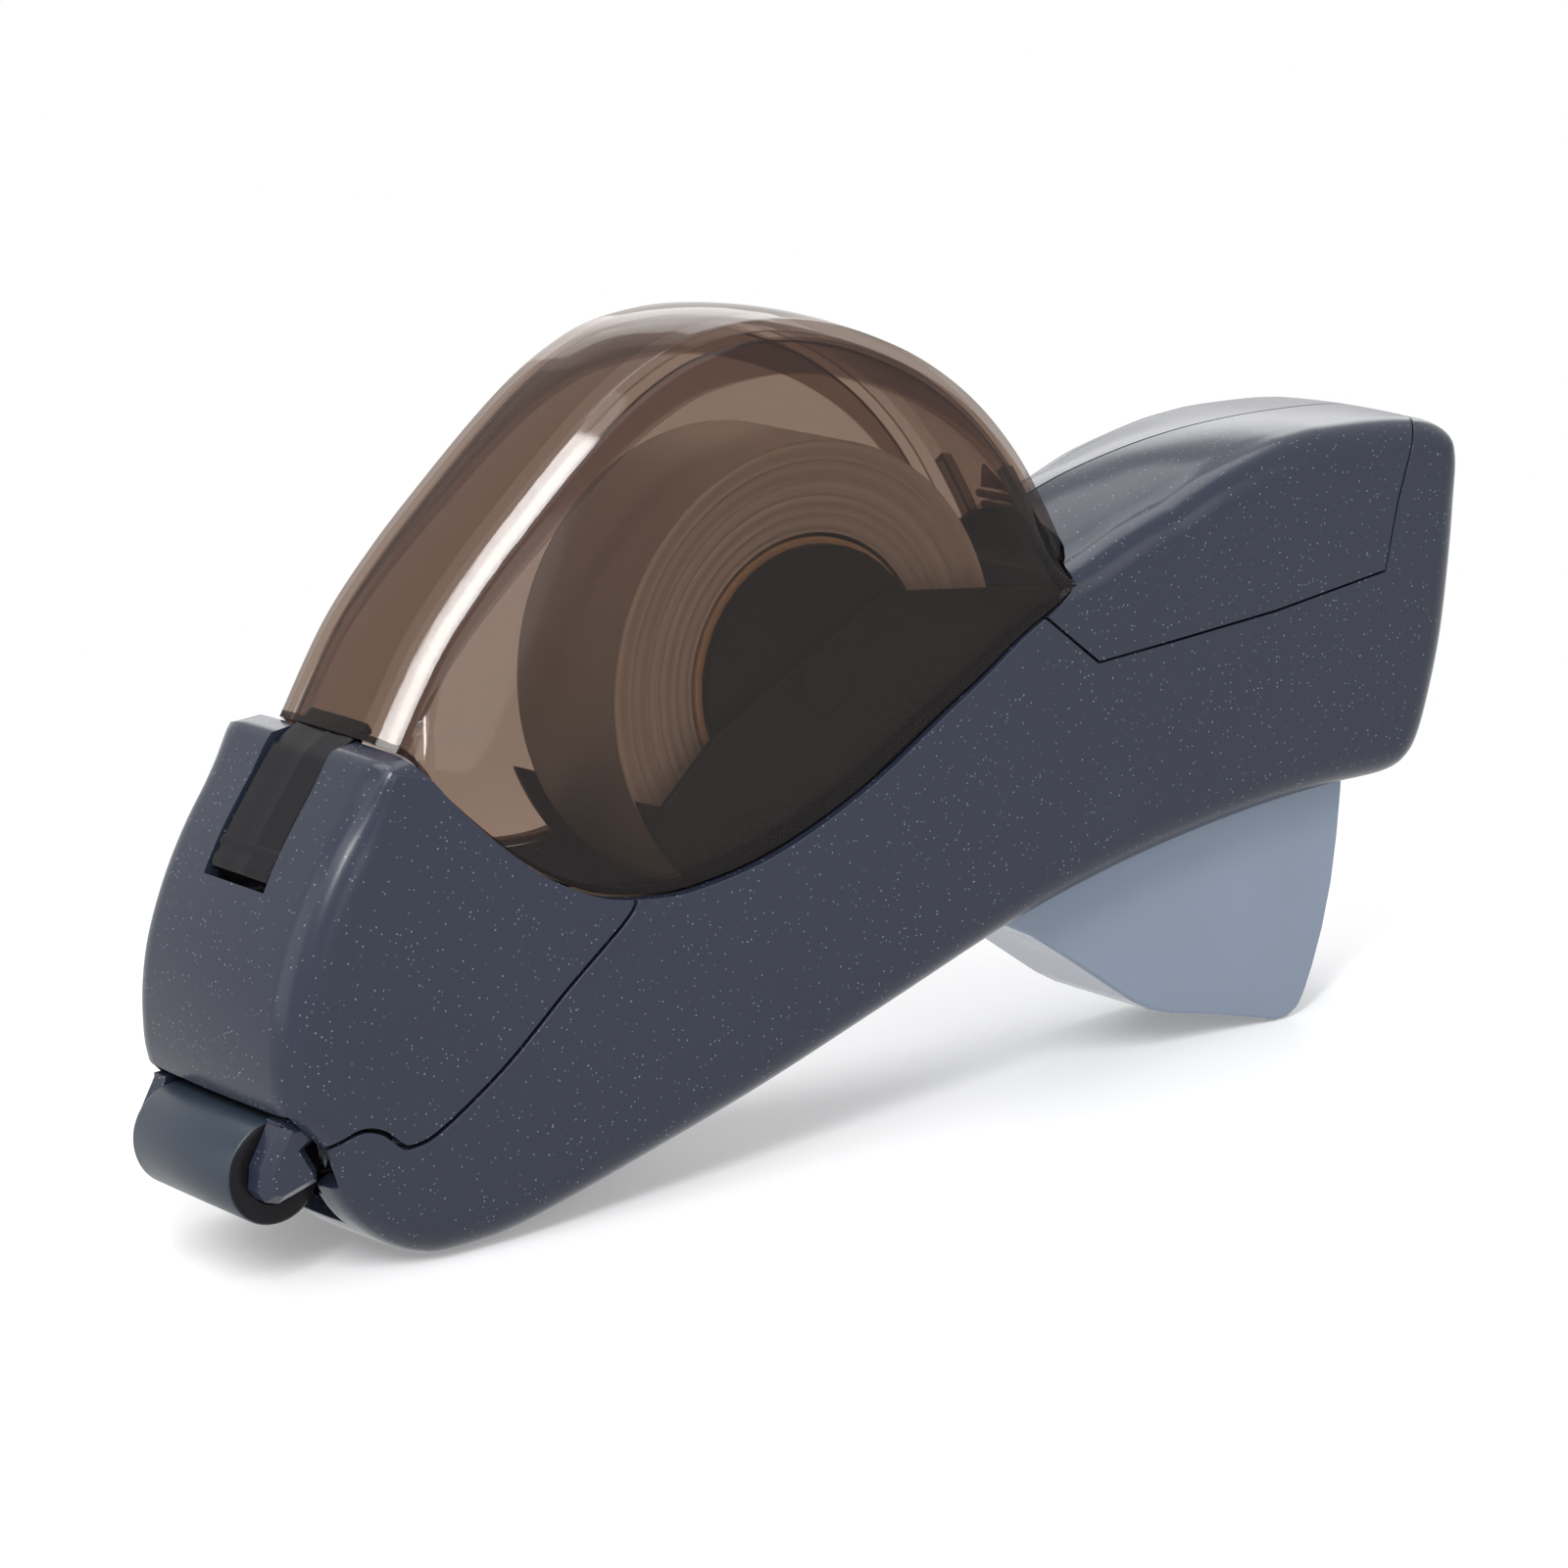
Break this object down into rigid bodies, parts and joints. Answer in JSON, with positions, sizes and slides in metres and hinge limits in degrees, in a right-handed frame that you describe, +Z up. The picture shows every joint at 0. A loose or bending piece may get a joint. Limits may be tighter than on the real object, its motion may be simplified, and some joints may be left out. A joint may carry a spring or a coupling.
{
  "type": "tape dispenser",
  "caption": "One-hand tape dispenser with a see-through hinged cover over the roll, a press roller at the nose and a trigger lever that drives the cutting blade.",
  "frame": {"origin": "on the surface that the tool stands on, under the middle of its overall length and width", "axes": "+X from the nose towards the handle, +Y towards the user's right with the nose pointing forwards along -X, +Z up"},
  "size_m": [0.168, 0.0314, 0.0911],
  "materials": {
    "body": "dark blue-grey moulded plastic with fine pale specks, satin gloss",
    "dark": "near-black moulded plastic, satin gloss",
    "smoke": "see-through smoky brown plastic, polished",
    "trigger": "light blue-grey moulded plastic, fine satin",
    "roller": "blue-grey plastic, satin",
    "tape": "wound clear tape, warm brown on its edge",
    "card": "pressed card tube",
    "white": "off-white slippery plastic",
    "steel": "plain steel"
  },
  "bodies": {
    "root": {"nose_cover": "body", "body_left": "body", "body_right": "body", "handle_panel_left": "body", "handle_panel_right": "body", "front_frame_left": "body", "front_frame_right": "body", "roll_cheek_left": "dark", "roll_cheek_right": "dark", "bay_floor": "dark", "cover_hinge_pin": "steel", "hub_axle": "steel", "tape_leader": "tape", "guide_roller_axle": "steel", "press_roller_axle": "steel", "trigger_pin": "steel", "trigger_spring": "steel", "case_screw_front": "steel", "case_screw_middle": "steel", "case_screw_rear": "steel"},
    "cover": {"tape_cover": "smoke", "hinge_tongue": "dark"},
    "reel": {"tape_hub": "dark", "hub_cap": "dark", "tape_core": "card", "tape_roll": "tape"},
    "guide_roller": {"guide_roller": "white"},
    "press_roller": {"press_roller": "roller"},
    "trigger": {"trigger": "trigger"},
    "cutter": {"blade_carriage": "white", "cutter_blade": "steel", "blade_rivet_left": "steel", "blade_rivet_right": "steel"}
  },
  "joints": [
    {"name": "cover_open", "type": "hinge", "parent": "root", "child": "cover", "pos_m": [-0.0724, 0, 0.04218], "axis": [0, -1, 0], "range_deg": [0, 100]},
    {"name": "tape_reel_spin", "type": "hinge", "parent": "root", "child": "reel", "pos_m": [-0.00889, 0, 0.05168], "axis": [0, 1, 0], "continuous": true},
    {"name": "guide_roller_spin", "type": "hinge", "parent": "root", "child": "guide_roller", "pos_m": [-0.06939, 0, 0.031], "axis": [0, 1, 0], "continuous": true},
    {"name": "press_roller_spin", "type": "hinge", "parent": "root", "child": "press_roller", "pos_m": [-0.07849, 0, 0.01182], "axis": [0, 1, 0], "continuous": true},
    {"name": "trigger_pull", "type": "hinge", "parent": "root", "child": "trigger", "pos_m": [0.00761, 0, 0.02449], "axis": [0, -1, 0], "range_deg": [0, 7], "stiffness_Nm_per_rad": 2, "springref_deg": -8.59, "deforming": ["trigger_spring"]},
    {"name": "cutter_slide", "type": "slide", "parent": "root", "child": "cutter", "axis": [0, 0, -1], "range_m": [0, 0.0092]}
  ],
  "couplings": [
    {"joint": "cutter_slide", "follows": "trigger_pull", "m_per_rad": 0.0752}
  ]
}
